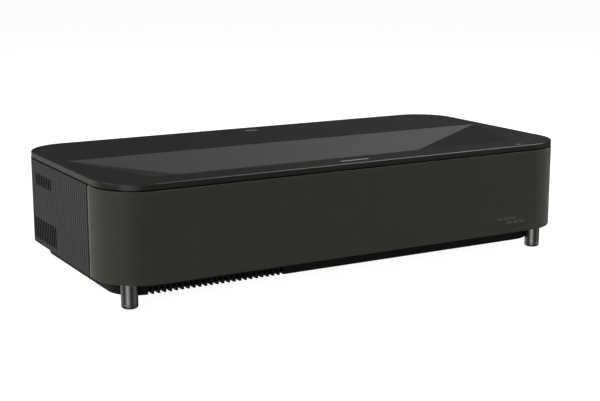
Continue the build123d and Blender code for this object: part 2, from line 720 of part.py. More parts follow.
def ac_inlet():
    half_w = inlet_size[0] / 2
    half_h = inlet_size[1] / 2
    wall = 2.0
    y = (rear_y - 21.0, rear_y)
    body = block((inlet_x - half_w, inlet_x + half_w), y, (inlet_z - half_h, inlet_z + half_h))
    body -= block((inlet_x - half_w + wall, inlet_x + half_w - wall), (y[0] + 4, rear_y + 2),
                  (inlet_z - half_h + wall, inlet_z + half_h - wall))
    for pin_x, pin_z in ((-7, -2), (0, 3), (7, -2)):
        x = inlet_x + pin_x
        z = inlet_z + pin_z
        body += block((x - 1, x + 1), (y[0] + 2, rear_y - 4), (z - 2, z + 2))
    nodes["ac_inlet"] = body


def rear_panel():
    half = rear_joint_x - panel_gap
    through = (rear_y - wall_t - 2, rear_y + 1)
    panel = block((-half, half), (rear_y - wall_t, rear_y), (cabinet_z, cabinet_top))
    panel -= block((bay_x[0] - 0.2, bay_x[1] + 0.2), through, (bay_z[0] - 0.2, bay_z[1] + 0.2))
    inlet_w = (inlet_x - inlet_size[0] / 2 - 0.2, inlet_x + inlet_size[0] / 2 + 0.2)
    inlet_h = (inlet_z - inlet_size[1] / 2 - 0.2, inlet_z + inlet_size[1] / 2 + 0.2)
    panel -= block(inlet_w, through, inlet_h)
    for number in range(louvre_count):
        x = louvre_x + louvre_pitch * number
        panel -= block((x, x + louvre_w), through, (cabinet_z + 60.0, cabinet_top - 14.0))
    nodes["rear_panel"] = panel


# --- Lower case and feet ----------------------------------------------------------------------
def screw_places():
    x_far = side_x - 42.5
    rear = rear_y - tray_rear - 8.0
    return [(x_far, split_y + 35.0), (120.0, split_y + 20.0), (x_far, rear), (80.0, rear)]


def lower_case():
    plate = rounded_slab(fabric_t + grille_t + fit_gap, (cabinet_z, floor_z))
    for side in (-1, 1):
        plate += post(side * foot_x, foot_y, (floor_z, floor_z + 19.0), 8.5)
        plate -= post(side * foot_x, foot_y, (cabinet_z - 1, floor_z + 20.0), foot_stud_r + 0.08)
        for x, y in screw_places():
            plate += post(side * x, y, (floor_z, floor_z + 8.0), 4.0)
            plate -= post(side * x, y, (cabinet_z - 1, floor_z + 6.5), screw_r + 0.1)
    for number in range(17):
        x = -side_x + 60.0 + 9.6 * number
        plate -= block((x, x + 4.0), (split_y + 5.0, split_y + 50.0), (cabinet_z - 1, floor_z + 1))
    for x in (118.0, side_x - 60.0):
        guide = block((x - 3, x + 3), (focus_y - 5, focus_y + 5), (floor_z, focus_z + 5))
        plate += guide - rod_x((x - 4, x + 4), focus_y, focus_z, focus_rod_r + 0.08)
    for x, y in board_posts():
        plate += post(x, y, (floor_z, board_z), 3.0) - post(x, y, (floor_z + 2.0, board_z), 1.3)
    nodes["base_plate"] = plate


def undertray():
    half = side_x - tray_inset_x
    y = (front_y + tray_front, rear_y - tray_rear)
    z = (underside_z, cabinet_z)

    def solid(inset, low):
        shape = block((-half + inset, half - inset), (y[0] + inset, y[1] - inset), (low, z[1]))
        corners = shape.edges().filter_by(Axis.Z).group_by(Axis.Y)[0]
        return fillet(corners, tray_corner_r - inset)

    outer = solid(0, z[0])
    rear_edge = outer.edges().filter_by(Axis.X).group_by(Axis.Y)[-1].group_by(Axis.Z)[0]
    outer = fillet(rear_edge, rear_round)
    room = block((-side_x, side_x), (front_y, y[1] - rear_round), (0, z[1] + 1))
    tray = outer - (solid(tray_wall, z[0] + tray_wall) & room)
    for number in range(24):
        x = -half + tray_slot_in + tray_slot_pitch * number
        tray -= block((x, x + tray_slot_w), (y[0] - 1, y[0] + 14.0), (z[0] - 1, z[0] + 9.0))
    for side in (-1, 1):
        for px, py in screw_places():
            tray += post(side * px, py, (z[0], z[1]), 4.5)
            tray -= post(side * px, py, (z[0] - 1, z[1] + 1), screw_r + 0.1)
            tray -= post(side * px, py, (z[0] - 1, z[0] + 2.5), 3.2)
    nodes["undertray"] = tray
    screws = []
    for side in (-1, 1):
        for px, py in screw_places():
            shank = post(side * px, py, (z[0] + 2.0, floor_z + 6.0), screw_r)
            screws.append(shank + post(side * px, py, (z[0] + 0.5, z[0] + 2.5), 3.0))
    nodes["case_screws"] = group(screws)


def feet():
    body = post(foot_x, foot_y, (0.0, cabinet_z - fit_gap), foot_r)
    body = chamfer(body.edges().group_by(Axis.Z)[0], 1.5)
    body += post(foot_x, foot_y, (cabinet_z - fit_gap, floor_z + 16.0), foot_stud_r)
    nodes["front_foot_right"] = body
    nodes["front_foot_left"] = mirrored(body)
    rear = post(side_x - 97.5, rear_y - tray_rear - 20.0, (0.0, underside_z), 10.0)
    nodes["rear_feet"] = group([rear, mirrored(rear)])


# --- Build ------------------------------------------------------------------------------------
side_panels()
filter_parts()
power_button()
fabric_front()
top_cover()
beam_recess()
shutter_frame(shutter())
mirror_parts()
lens_parts()
light_engine()
light_source()
cooling()
speakers()
electronics()
connectors()
ac_inlet()
rear_panel()
lower_case()
undertray()
feet()

os.makedirs("parts", exist_ok=True)
for name, shape in nodes.items():
    export_step(shape, f"parts/{name}.step")
print(len(nodes), "sub-parts written")
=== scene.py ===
import math

import bmesh
import bpy
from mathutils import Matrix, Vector


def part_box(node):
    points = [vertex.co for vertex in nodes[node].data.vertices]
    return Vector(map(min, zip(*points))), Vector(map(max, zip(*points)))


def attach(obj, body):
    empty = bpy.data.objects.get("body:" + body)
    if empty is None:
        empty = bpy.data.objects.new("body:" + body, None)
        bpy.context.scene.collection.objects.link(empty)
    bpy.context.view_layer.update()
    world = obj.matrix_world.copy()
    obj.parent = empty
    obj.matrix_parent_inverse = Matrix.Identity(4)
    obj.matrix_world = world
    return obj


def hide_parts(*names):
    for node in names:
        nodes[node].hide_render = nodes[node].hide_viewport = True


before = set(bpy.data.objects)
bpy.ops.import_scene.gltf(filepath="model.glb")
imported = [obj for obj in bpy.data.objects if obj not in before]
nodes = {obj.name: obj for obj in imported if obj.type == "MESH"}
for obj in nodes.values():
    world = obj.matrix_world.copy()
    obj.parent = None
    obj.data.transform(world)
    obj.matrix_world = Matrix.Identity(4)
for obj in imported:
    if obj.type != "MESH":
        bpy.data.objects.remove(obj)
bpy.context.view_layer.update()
print("frame loaded:", len(nodes), "nodes")

mm = 0.001


# ---- shader tools

class Wire:
    # a shader output that Python's operators can be used on
    def __init__(self, finish, socket):
        self.finish = finish
        self.socket = socket

    def math(self, operation, *values):
        return self.finish.add("ShaderNodeMath", {"operation": operation}, dict(enumerate(values)))

    def __add__(self, other):
        return self.math("ADD", self, other)

    def __sub__(self, other):
        return self.math("SUBTRACT", self, other)

    def __rsub__(self, other):
        return self.math("SUBTRACT", other, self)

    def __mul__(self, other):
        return self.math("MULTIPLY", self, other)

    def __truediv__(self, other):
        return self.math("DIVIDE", self, other)

    def __pow__(self, other):
        return self.math("POWER", self, other)

    def __gt__(self, other):
        return self.math("GREATER_THAN", self, other)

    def __lt__(self, other):
        return self.math("LESS_THAN", self, other)

    __radd__ = __add__
    __rmul__ = __mul__

    def size(self):
        return self.math("ABSOLUTE", self)

    def atLeast(self, value):
        return self.math("MAXIMUM", self, value)

    def whole(self):
        return self.math("FLOOR", self)

    def part(self):
        return self.math("FRACT", self)


class Nodes:
    # a node tree: add() puts a node in it and returns the output that is asked for
    def __init__(self, tree):
        self.tree = tree

    def feed(self, socket, value):
        if isinstance(value, Wire):
            self.tree.links.new(value.socket, socket)
        elif isinstance(value, tuple) and socket.type == "RGBA":
            socket.default_value = (*value, 1)
        else:
            socket.default_value = value

    def add(self, kind, settings=None, values=None, out=0):
        node = self.tree.nodes.new(kind)
        for name, value in (settings or {}).items():
            setattr(node, name, value)
        for name, value in (values or {}).items():
            self.feed(node.inputs[name], value)
        return Wire(self, node.outputs[out])

    def place(self):
        return self.add("ShaderNodeTexCoord", out="Object")

    def axis(self, name):
        return self.add("ShaderNodeSeparateXYZ", None, {0: self.place()}, name)

    def noise(self, scale, detail=2.0, stretch=(1, 1, 1)):
        spread = self.add("ShaderNodeMapping", None, {"Vector": self.place(), "Scale": stretch})
        values = {"Vector": spread, "Scale": scale, "Detail": detail}
        return self.add("ShaderNodeTexNoise", None, values)

    def cells(self, scale):
        return self.add("ShaderNodeTexVoronoi", None, {"Vector": self.place(), "Scale": scale})

    def mix(self, mask, first, second):
        # sockets 6 and 7, and output 2, are the Mix node's colour ones
        settings = {"data_type": "RGBA"}
        return self.add("ShaderNodeMix", settings, {0: mask, 6: first, 7: second}, 2)

    def whiteNoise(self, x, y):
        # one random value for each pair of whole numbers
        spot = self.add("ShaderNodeCombineXYZ", None, {0: x, 1: y})
        return self.add("ShaderNodeTexWhiteNoise", {"noise_dimensions": "2D"}, {"Vector": spot})

    def band(self, signal, low, high):
        return self.add("ShaderNodeMapRange", None, {0: signal, 1: low, 2: high})

    def bump(self, height, depth, strength=1.0):
        values = {"Height": height, "Distance": depth, "Strength": strength}
        return self.add("ShaderNodeBump", None, values)


class Finish(Nodes):
    # one material: constants go on the shader's own sockets, patterns through add()
    def __init__(self, name, colour, roughness, **sockets):
        self.material = bpy.data.materials.new(name)
        self.material.use_nodes = True
        self.material.diffuse_color = (*colour, 1)
        super().__init__(self.material.node_tree)
        self.shader = self.tree.nodes["Principled BSDF"]
        self.set(Base_Color=colour, Roughness=roughness, **sockets)

    def set(self, **links):
        for words, value in links.items():
            self.feed(self.shader.inputs[words.replace("_", " ")], value)
        return self


# ---- finishes

def paler(colour, times):
    return tuple(times * channel for channel in colour)


mouldedLook = {"grain": 900.0, "depth": 0.02 * mm, "uneven": 0.12, "patches": 9.0,
               "patchTint": 0.35, "grainTint": 0.3, "palest": 1.35}


def mouldedPlastic(name, colour, roughness, grain=mouldedLook["grain"], depth=mouldedLook["depth"],
                   uneven=mouldedLook["uneven"], **sockets):
    # spark-textured moulding: a fine grain, and a slow change in gloss from handling
    look = mouldedLook
    finish = Finish(name, colour, roughness, **sockets)
    fine = finish.noise(grain, 3.0)
    slow = finish.noise(look["patches"], 4.0)
    finish.set(Roughness=slow * (2 * uneven) + (roughness - uneven))
    mask = slow * look["patchTint"] + fine * look["grainTint"]
    tint = finish.mix(mask, colour, paler(colour, look["palest"]))
    return finish.set(Base_Color=tint, Normal=finish.bump(fine, depth))


# painted shade: this near-black colour is painted where a gap or a tight fold would lie in shadow
paintedGapShade = (0.001, 0.001, 0.001)  # what stands in a shadow gap or a tight fold

lidLook = {"colour": (0.0168, 0.0164, 0.015), "roughness": 0.3, "uneven": 0.06, "plateZ": 149.6 * mm,
           "peel": 160.0, "peelDepth": 0.004 * mm, "patches": 6.0,
           "dust": (0.08, 0.08, 0.078), "dustCells": 420.0, "dustSize": 0.05, "dustShare": 0.35}


def lidGloss():
    # dark gloss moulding with a slight orange peel and faint dust; the rim below the plate gets
    # painted shade
    look = lidLook
    finish = Finish("lid gloss", look["colour"], look["roughness"])
    peel = finish.noise(look["peel"], 1.0)
    slow = finish.noise(look["patches"], 1.0)
    dust = finish.cells(look["dustCells"]) < look["dustSize"]
    finish.set(Roughness=slow * look["uneven"] + (look["roughness"] - look["uneven"] / 3))
    plate = finish.mix(dust * look["dustShare"], look["colour"], look["dust"])
    # painted shade: everything below the plate's underside is coloured near black, as the shadow
    # inside the gap under the lid
    paintedRimShade = finish.axis("Z") < look["plateZ"]
    finish.set(Base_Color=finish.mix(paintedRimShade, plate, paintedGapShade))
    return finish.set(Normal=finish.bump(peel, look["peelDepth"]))


rampLook = {"top": 156.6 * mm, "rear": 27.0 * mm, "slope": 0.5, "near": 0.3 * mm,
            "colour": (0.041, 0.0396, 0.0377), "palest": 1.3, "facet": (0.0175, 0.017, 0.016),
            "roughness": 0.5, "gloss": 0.28, "satin": 0.2, "uneven": 0.08,
            "grain": 1600.0, "grainDepth": 0.012 * mm, "grainTint": 0.4,
            "patches": 7.0, "patchTint": 0.2}


def recessFinish():
    # the long ramp is satin and paler; the steep walls beside it match the lid
    look = rampLook
    finish = Finish("recess", look["colour"], look["roughness"])
    fine = finish.noise(look["grain"], 3.0)
    slow = finish.noise(look["patches"], 3.0)
    rampHeight = (finish.axis("Y") - look["rear"]) * look["slope"] + look["top"]
    ramp = (finish.axis("Z") - rampHeight).size() < look["near"]
    mask = fine * look["grainTint"] + slow * look["patchTint"]
    satin = finish.mix(mask, look["colour"], paler(look["colour"], look["palest"]))
    finish.set(Base_Color=finish.mix(ramp, look["facet"], satin))
    finish.set(Roughness=ramp * look["satin"] + slow * look["uneven"] + look["gloss"])
    return finish.set(Normal=finish.bump(fine * ramp, look["grainDepth"]))


sideLook = {"colour": (0.0245, 0.0245, 0.0236), "shade": (0.0022, 0.0022, 0.0022), "roughness": 0.5,
            "cornerRadius": 60 * mm, "skin": 0.65 * mm, "seam": 2.0 * mm, "dull": 0.45}


def flutedPlastic():
    # the moulded skin, with painted shade on the depth of the slots that go through it and on a band
    # along the panel's front edge
    finish = mouldedPlastic("side plastic", sideLook["colour"], sideLook["roughness"])
    low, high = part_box("left_side_panel")
    radius = sideLook["cornerRadius"]
    acrossX = (finish.axis("X").size() - (-low.x - radius)).atLeast(0)
    acrossY = (finish.axis("Y") - (high.y - radius)).atLeast(0)
    reach = (acrossX * acrossX + acrossY * acrossY) ** 0.5
    # painted shade: inside the skin's thickness and along the front edge, the colour is painted near
    # black as shadow
    paintedSlotSeamShade = (reach < radius - sideLook["skin"]).atLeast(finish.axis("Y") < low.y + sideLook["seam"])
    skin = finish.shader.inputs["Base Color"].links[0].from_socket
    gloss = finish.shader.inputs["Roughness"].links[0].from_socket
    finish.set(Base_Color=finish.mix(paintedSlotSeamShade, Wire(finish, skin), sideLook["shade"]))
    return finish.set(Roughness=Wire(finish, gloss) + paintedSlotSeamShade * sideLook["dull"])


clothLook = {"low": (0.0115, 0.0114, 0.009), "high": (0.040, 0.0393, 0.0315), "roughness": 0.92,
             "pitch": 0.85 * mm, "under": 0.4, "patches": 38.0, "depth": 0.09 * mm, "relief": 0.5,
             "length": 793 * mm, "fold": 2.4 * mm, "foldShade": 0.85,
             "weaveTint": 0.32, "threadTint": 0.3, "patchTint": 0.2}
clothSheen = {"Sheen_Weight": 0.3, "Sheen_Roughness": 0.45, "Sheen_Tint": (1.0, 0.98, 0.9)}


def grilleCloth():
    # plain weave on the cloth's own map: warp and weft cross over each other in turn; both ends get
    # painted shade where the cloth turns in
    look = clothLook
    finish = Finish("grille cloth", look["low"], look["roughness"], **clothSheen)
    ownMap = finish.add("ShaderNodeUVMap", {"uv_map": "cloth"})
    along = finish.add("ShaderNodeSeparateXYZ", None, {0: ownMap}, "X")
    across = along / look["pitch"]
    up = finish.add("ShaderNodeSeparateXYZ", None, {0: ownMap}, "Y") / look["pitch"]
    crossing = ((across.whole() + up.whole()) * 0.5).part() > 0.25
    warp = (across.part() - 0.5).size()
    weft = (up.part() - 0.5).size()
    warpRound = 1 - warp * warp * 4
    weftRound = 1 - weft * weft * 4
    warpOver = warpRound + weftRound * look["under"]
    weftOver = weftRound + warpRound * look["under"]
    over = crossing * warpOver + (1 - crossing) * weftOver
    threads = finish.whiteNoise(across.whole() * crossing, up.whole() * (1 - crossing))
    slow = finish.noise(look["patches"], 2.0)
    tone = over * look["weaveTint"] + threads * look["threadTint"] + slow * look["patchTint"]
    weave = finish.mix(tone, look["low"], look["high"])
    # painted shade: near both ends, where the cloth turns in at the seams, the colour is painted
    # towards near black as shadow
    middle = look["length"] / 2
    paintedEndShade = (along - middle).size() > middle - look["fold"]
    finish.set(Base_Color=finish.mix(paintedEndShade * look["foldShade"], weave, paintedGapShade))
    return finish.set(Normal=finish.bump(over, look["depth"], look["relief"]))


turnedLook = {"lines": 2200.0, "stretch": (0.02, 0.02, 1), "depth": 0.01 * mm,
              "patches": 60.0, "dark": 0.85, "lineGloss": 0.12, "patchGloss": 0.08}


def turnedMetal(name, colour, roughness):
    # lathe-turned metal: fine rings round the vertical axis
    look = turnedLook
    finish = Finish(name, colour, roughness, Metallic=1.0)
    rings = finish.noise(look["lines"], 2.0, look["stretch"])
    slow = finish.noise(look["patches"], 3.0)
    uneven = rings * look["lineGloss"] + slow * look["patchGloss"]
    finish.set(Roughness=uneven + (roughness - (look["lineGloss"] + look["patchGloss"]) / 2))
    finish.set(Base_Color=finish.mix(slow, paler(colour, look["dark"]), colour))
    return finish.set(Normal=finish.bump(rings, look["depth"]))


castLook = {"grain": 700.0, "fineGrain": 1500.0, "depth": 0.04 * mm,
            "patches": 40.0, "dark": 0.8, "grainGloss": 0.2, "patchGloss": 0.1}


def castMetal(name, colour, roughness, grain=castLook["grain"]):
    look = castLook
    finish = Finish(name, colour, roughness, Metallic=1.0)
    fine = finish.noise(grain, 4.0)
    slow = finish.noise(look["patches"], 3.0)
    uneven = fine * look["grainGloss"] + slow * look["patchGloss"]
    finish.set(Roughness=uneven + (roughness - (look["grainGloss"] + look["patchGloss"]) / 2))
    finish.set(Base_Color=finish.mix(slow, paler(colour, look["dark"]), colour))
    return finish.set(Normal=finish.bump(fine, look["depth"]))


glassLook = {"colour": (0.93, 0.96, 0.98), "smears": 30.0, "smearRange": (0.45, 0.75),
             "smearGloss": 0.04}
glassSockets = {"Transmission_Weight": 0.9, "IOR": 1.5, "Coat_Weight": 0.4}


def clearGlass():
    look = glassLook
    finish = Finish("coated glass", look["colour"], 0.0, **glassSockets)
    smear = finish.noise(look["smears"], 3.0)
    return finish.set(Roughness=finish.band(smear, *look["smearRange"]) * look["smearGloss"])


boardLook = {"mask": (0.012, 0.07, 0.03), "run": (0.03, 0.13, 0.06), "pad": (0.55, 0.5, 0.36),
             "parts": (0.02, 0.02, 0.022), "pitch": 2.4 * mm, "runWidth": 0.12, "runShare": 0.5,
             "padCells": 190.0, "padSize": 0.16, "depth": 0.03 * mm}


def circuitBoard(top):
    # green solder mask with copper runs and pads; what stands above the board is dark parts
    look = boardLook
    finish = Finish("circuit board", look["mask"], 0.35)
    x = finish.axis("X") / look["pitch"]
    y = finish.axis("Y") / look["pitch"]
    choice = finish.whiteNoise(x.whole(), y.whole())
    upright = ((x.part() - 0.5).size() < look["runWidth"]) * (choice > 0.5)
    level = ((y.part() - 0.5).size() < look["runWidth"]) * (choice < 0.5)
    run = upright + level
    pads = finish.cells(look["padCells"]) < look["padSize"]
    mask = finish.mix(run * look["runShare"], look["mask"], look["run"])
    metal = finish.mix(pads, mask, look["pad"])
    parts = finish.axis("Z") > top
    finish.set(Base_Color=finish.mix(parts, metal, look["parts"]))
    return finish.set(Normal=finish.bump(run + pads, look["depth"]))


pleatLook = {"clean": (0.085, 0.085, 0.082), "dusty": (0.15, 0.145, 0.135), "fibres": 1400.0,
             "stretch": (1, 1, 0.25), "depth": 0.08 * mm, "dust": 45.0, "dustRange": (0.45, 0.8)}


def foldedPaper():
    look = pleatLook
    finish = Finish("filter pleats", look["clean"], 0.95)
    fibres = finish.noise(look["fibres"], 4.0, look["stretch"])
    dust = finish.noise(look["dust"], 4.0)
    settled = finish.band(dust, *look["dustRange"])
    finish.set(Base_Color=finish.mix(settled, look["clean"], look["dusty"]))
    return finish.set(Normal=finish.bump(fibres, look["depth"]))


wheelLook = {"bare": (0.7, 0.7, 0.7), "ring": (0.8, 0.62, 0.08), "inner": 15 * mm, "outer": 22 * mm,
             "grains": 1500.0, "depth": 0.03 * mm, "bareMetal": 0.9}


def phosphorRing(centre):
    # a wheel of bare aluminium with the yellow ring that the beam strikes
    look = wheelLook
    finish = Finish("phosphor wheel", look["bare"], 0.3, Metallic=0.6)
    y = finish.axis("Y") - centre.y
    z = finish.axis("Z") - centre.z
    reach = (y * y + z * z) ** 0.5
    ring = (reach > look["inner"]) * (reach < look["outer"])
    grains = finish.noise(look["grains"], 3.0)
    finish.set(Base_Color=finish.mix(ring, look["bare"], look["ring"]))
    finish.set(Metallic=(1 - ring) * look["bareMetal"])
    return finish.set(Normal=finish.bump(grains * ring, look["depth"]))


pipeLook = {"fins": (0.66, 0.66, 0.68), "bright": (0.62, 0.3, 0.16), "tarnished": (0.5, 0.2, 0.1),
            "patches": 70.0, "pipeDepth": 5.9 * mm, "gloss": 0.22, "tarnishGloss": 0.2}


def copperPipes(top):
    # bare fins with plated copper pipes lying on top of them
    look = pipeLook
    finish = Finish("heat pipes", look["fins"], 0.35, Metallic=1.0)
    copper = finish.axis("Z") > top - look["pipeDepth"]
    tarnish = finish.noise(look["patches"], 4.0)
    pipe = finish.mix(tarnish, look["bright"], look["tarnished"])
    finish.set(Base_Color=finish.mix(copper, look["fins"], pipe))
    return finish.set(Roughness=tarnish * look["tarnishGloss"] + look["gloss"])


screwHead = 1.7 * mm
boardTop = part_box("board_screws")[1].z - screwHead
wheelLow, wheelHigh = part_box("phosphor_wheel")

lid = lidGloss()
recess = recessFinish()
sideShell = flutedPlastic()
darkShell = mouldedPlastic("tray plastic", (0.0045, 0.0045, 0.0043), 0.62)
blackParts = mouldedPlastic("black parts", (0.012, 0.012, 0.012), 0.5, 500.0)
buttonPlastic = mouldedPlastic("button plastic", (0.075, 0.075, 0.073), 0.35, 500.0)
cloth = grilleCloth()
footMetal = turnedMetal("foot metal", (0.42, 0.42, 0.42), 0.36)
zincSteel = turnedMetal("zinc steel", (0.5, 0.5, 0.5), 0.38)
rubber = mouldedPlastic("foot rubber", (0.012, 0.012, 0.012), 0.85, 420.0, 0.05 * mm)
dieCast = castMetal("die cast", (0.36, 0.36, 0.37), 0.5)
bareFins = castMetal("bare fins", pipeLook["fins"], 0.35, castLook["fineGrain"])
socketMetal = castMetal("socket metal", (0.6, 0.6, 0.6), 0.3, castLook["fineGrain"])
badgeMetal = mouldedPlastic("badge print", (0.07, 0.07, 0.064), 0.5, 1500.0)
inlayMetal = mouldedPlastic("inlay print", (0.32, 0.32, 0.31), 0.45, 1500.0)
nylon = mouldedPlastic("gear nylon", (0.7, 0.69, 0.64), 0.45, 500.0)
windowPlastic = mouldedPlastic("grey window", (0.3, 0.3, 0.29), 0.35, 300.0, 0.002 * mm, 0.04,
                               Coat_Weight=0.3)
glass = clearGlass()
mirrorCoat = castMetal("mirror coat", (0.86, 0.87, 0.89), 0.16, 300.0)
greenBoard = circuitBoard(boardTop)
pleats = foldedPaper()
wheelFinish = phosphorRing((wheelLow + wheelHigh) / 2)
pipeFinish = copperPipes(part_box("heat_pipe_radiator")[1].z)
conePaper = mouldedPlastic("cone paper", (0.018, 0.018, 0.019), 0.8, 260.0, 0.12 * mm)

# what each node carried over from the frame is finished in
dressing = {
    lid: ["top_cover"],
    recess: ["beam_recess"],
    sideShell: ["left_side_panel", "right_side_panel", "filter_door", "rear_panel"],
    buttonPlastic: ["power_button"],
    darkShell: ["undertray", "base_plate", "grille_frame", "connector_bay", "shutter_frame"],
    blackParts: ["lens_shutter", "focus_ring", "focus_rod", "exhaust_fan_frame", "exhaust_fan_rotor",
                 "intake_fan_frame", "intake_fan_rotor", "speaker_boxes", "ac_inlet", "audio_jack"],
    cloth: ["grille_fabric"],
    footMetal: ["front_foot_left", "front_foot_right"],
    rubber: ["rear_feet"],
    zincSteel: ["case_screws", "board_screws", "shutter_motor", "wheel_motor"],
    dieCast: ["mirror_holder", "lens_barrel", "engine_housing", "engine_lid", "source_housing",
              "laser_bank"],
    bareFins: ["laser_heat_sink", "processor_heat_sink"],
    pipeFinish: ["heat_pipe_radiator"],
    socketMetal: ["hdmi_sockets", "usb_sockets"],
    badgeMetal: ["grille_badge"],
    inlayMetal: ["top_inlay"],
    nylon: ["shutter_rack", "shutter_pinion"],
    windowPlastic: ["indicator_windows"],
    glass: ["dust_glass", "projection_lenses", "prism_cube", "lcd_panels"],
    mirrorCoat: ["projection_mirror", "dichroic_mirrors"],
    greenBoard: ["main_board", "power_board", "receiver_board", "button_board"],
    pleats: ["air_filter"],
    wheelFinish: ["phosphor_wheel"],
    conePaper: ["woofers", "tweeters"],
}
for coat, coated in dressing.items():
    for nodeName in coated:
        mesh = nodes[nodeName].data
        if not mesh.materials:
            mesh.materials.append(coat.material)
        for slot in nodes[nodeName].material_slots:
            slot.material = coat.material
print("finishes made:", len(dressing))


# ---- mesh tools

meshCare = {"merge": 0.005 * mm, "sharpFrom": 35.0}


def makeObject(bm, name, finish):
    mesh = bpy.data.meshes.new(name)
    bm.to_mesh(mesh)
    bm.free()
    mesh.materials.append(finish.material)
    piece = bpy.data.objects.new(name, mesh)
    bpy.context.scene.collection.objects.link(piece)
    return piece


def makePiece(bm, name, finish, body):
    # a smooth-shaded object that rides on a body
    piece = makeObject(bm, name, finish)
    for face in piece.data.polygons:
        face.use_smooth = True
    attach(piece, body)
    return piece


def turnedPiece(profile, x, y, name, finish, body):
    # a closed turned part on an upright axis: the profile starts and ends on that axis
    bm = bmesh.new()
    verts = [bm.verts.new((x + radius, y, z)) for radius, z in profile]
    edges = [bm.edges.new(pair) for pair in zip(verts, verts[1:])]
    bmesh.ops.spin(bm, geom=verts + edges, cent=(x, y, 0), axis=(0, 0, 1), dvec=(0, 0, 0),
                   angle=math.tau, steps=footShape["steps"], use_merge=True, use_duplicate=False)
    bmesh.ops.remove_doubles(bm, verts=bm.verts, dist=meshCare["merge"])
    bmesh.ops.recalc_face_normals(bm, faces=bm.faces)
    piece = makePiece(bm, name, finish, body)
    piece.data.set_sharp_from_angle(angle=math.radians(meshCare["sharpFrom"]))
    return piece


# ---- stretched cloth over the grille frame

clothSize = {"cornerRadius": 60 * mm, "edgeRadius": 1.1 * mm, "thick": 1.0 * mm, "turnIn": 3.4 * mm,
             "cornerSteps": 40, "rows": 24, "columns": 60, "sideColumns": 2, "edgeSteps": 4,
             "merge": 0.01 * mm, "foldAngle": 1.2}


def clothRun(point, low, high):
    # length along the cloth, from its left end, round both corners
    radius = clothSize["cornerRadius"]
    bendX = high.x - radius
    bendY = low.y + radius
    side = high.y - bendY
    half = side + radius * math.pi / 2 + bendX
    x = abs(point.x)
    if x <= bendX:
        away = x
    elif point.y >= bendY:
        away = half - side + (point.y - bendY)
    else:
        away = bendX + radius * math.atan2(x - bendX, bendY - point.y)
    return half + math.copysign(away, point.x)


def grilleFabric():
    # the sheet's upright section is drawn once, then pulled and turned along the front
    low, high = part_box("grille_fabric")
    radius = clothSize["cornerRadius"]
    bend = high.x - radius
    bm = bmesh.new()
    corners = [(low.x + clothSize["turnIn"], high.y, high.z), (low.x, high.y, high.z),
               (low.x, high.y, low.z), (low.x + clothSize["turnIn"], high.y, low.z)]
    verts = [bm.verts.new(corner) for corner in corners]
    edges = [bm.edges.new(pair) for pair in zip(verts, verts[1:])]
    bmesh.ops.subdivide_edges(bm, edges=edges[1:2], cuts=clothSize["rows"] - 1)
    section = bm.verts[:] + bm.edges[:]

    def pull(geometry, step, cuts):
        for _ in range(cuts):
            onlyEdges = [g for g in geometry if isinstance(g, bmesh.types.BMEdge)]
            made = bmesh.ops.extrude_edge_only(bm, edges=onlyEdges)["geom"]
            moved = [g for g in made if isinstance(g, bmesh.types.BMVert)]
            bmesh.ops.translate(bm, verts=moved, vec=step / cuts)
            geometry = moved + [g for g in made if isinstance(g, bmesh.types.BMEdge)
                                and all(v in moved for v in g.verts)]
        return geometry

    def turn(geometry, centre):
        made = bmesh.ops.spin(bm, geom=geometry, cent=centre, axis=(0, 0, 1), dvec=(0, 0, 0),
                              angle=math.pi / 2, steps=clothSize["cornerSteps"], use_duplicate=False)
        return made["geom_last"]

    side = Vector((0, low.y + radius - high.y, 0))
    section = pull(section, side, clothSize["sideColumns"])
    section = turn(section, (-bend, low.y + radius, 0))
    section = pull(section, Vector((2 * bend, 0, 0)), clothSize["columns"])
    section = turn(section, (bend, low.y + radius, 0))
    pull(section, -side, clothSize["sideColumns"])
    bmesh.ops.remove_doubles(bm, verts=bm.verts, dist=clothSize["merge"])

    outer = [e for e in bm.edges if len(e.link_faces) == 2
             and e.calc_face_angle(0) > clothSize["foldAngle"]
             and abs(e.verts[0].co.z - e.verts[1].co.z) < clothSize["merge"]]
    bmesh.ops.bevel(bm, geom=outer, offset=clothSize["edgeRadius"],
                    segments=clothSize["edgeSteps"], profile=0.5, affect="EDGES", material=-1)
    bmesh.ops.recalc_face_normals(bm, faces=bm.faces)
    front = min(bm.faces, key=lambda f: f.calc_center_median().y)
    if front.normal.y > 0:
        bmesh.ops.reverse_faces(bm, faces=bm.faces)
    clothMap = bm.loops.layers.uv.new("cloth")
    for face in bm.faces:
        for loop in face.loops:
            co = loop.vert.co
            loop[clothMap].uv = (clothRun(co, low, high), co.z)
    piece = makePiece(bm, "cloth_front", cloth, "projector")
    wall = piece.modifiers.new("cloth thickness", "SOLIDIFY")
    wall.thickness = clothSize["thick"]
    wall.offset = -1
    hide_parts("grille_fabric")


grilleFabric()
print("cloth made")


# ---- feet

footShape = {"bevel": 1.4 * mm, "bevelBulge": (0.4, 0.35), "topEdge": 0.5 * mm,
             "underPlate": 0.3 * mm, "steps": 96,
             "ringAt": 3.2 * mm, "ring": 0.25 * mm,
             "studRadius": 4.0 * mm, "thread": 1.25 * mm, "threadDepth": 0.6 * mm,
             "studStart": 0.6 * mm, "studSpare": 1 * mm, "studTip": 0.8 * mm,
             "padInset": 1.9 * mm, "padDrop": 0.6 * mm, "padIn": 0.1 * mm,
             "padEdge": (0.4 * mm, 0.3 * mm)}


